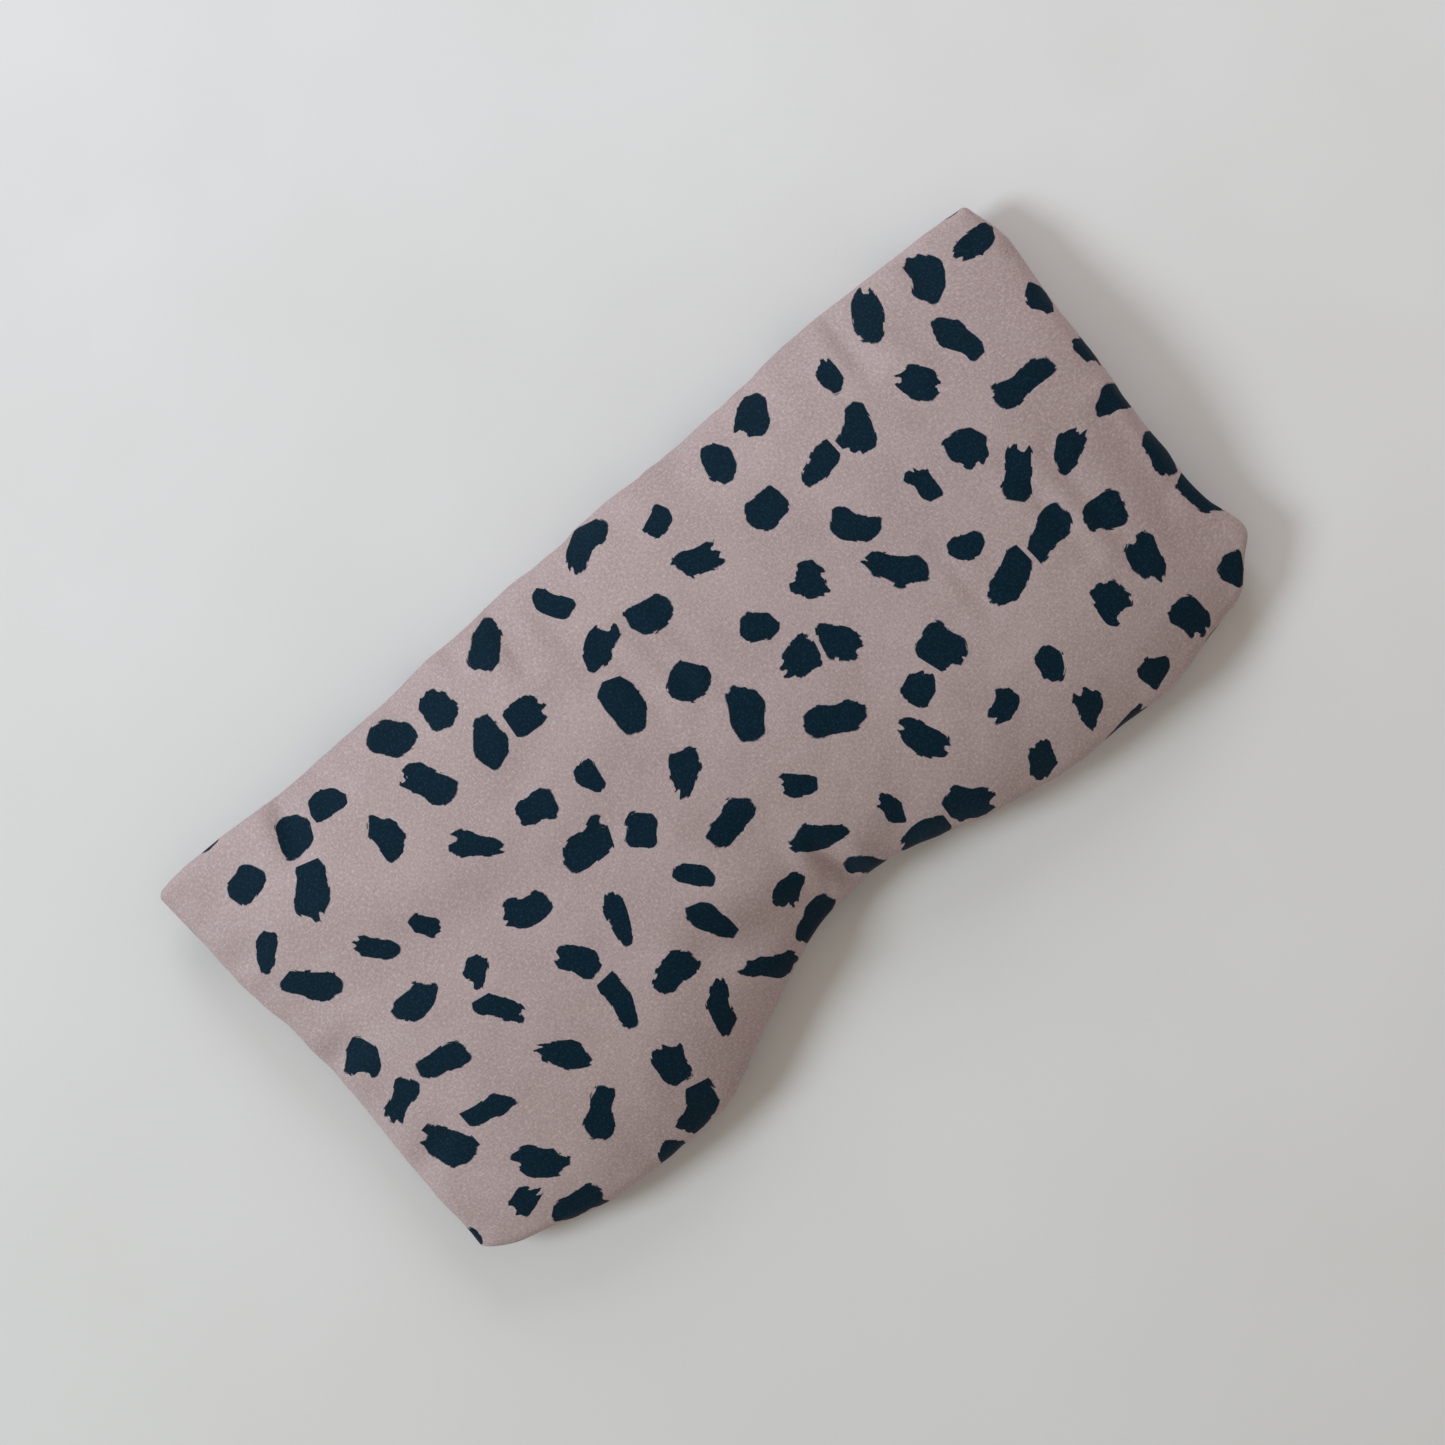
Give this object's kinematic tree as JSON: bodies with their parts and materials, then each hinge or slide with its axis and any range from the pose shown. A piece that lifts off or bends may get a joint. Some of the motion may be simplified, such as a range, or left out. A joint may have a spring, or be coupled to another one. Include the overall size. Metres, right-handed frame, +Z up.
{
  "type": "eye pillow",
  "caption": "Weighted contoured eye pillow: a seed-filled cotton pad with a straight brow edge, two rounded lobes and a nose notch between them.",
  "frame": {"origin": "centre of the bounding box in X and Y, on the table that the pillow rests on", "axes": "+X along the pillow, +Y towards the straight brow edge, +Z up out of the front; the nose notch faces -Y"},
  "size_m": [0.22, 0.11, 0.0251],
  "materials": {
    "printed_cotton": "matt fine cotton, dusty pink with dark teal brush dabs",
    "sewing_thread": "matt spun polyester",
    "calico": "matt unbleached calico",
    "flaxseed": "smooth brown seeds"
  },
  "bodies": {
    "root": {"cover_front": "printed_cotton", "cover_back": "printed_cotton", "cover_needle_thread": "sewing_thread", "cover_bobbin_thread": "sewing_thread", "cover_closing_thread": "sewing_thread", "liner_front": "calico", "liner_back": "calico", "liner_needle_thread": "sewing_thread", "liner_bobbin_thread": "sewing_thread", "liner_closing_thread": "sewing_thread", "seed_fill": "flaxseed"}
  },
  "joints": []
}
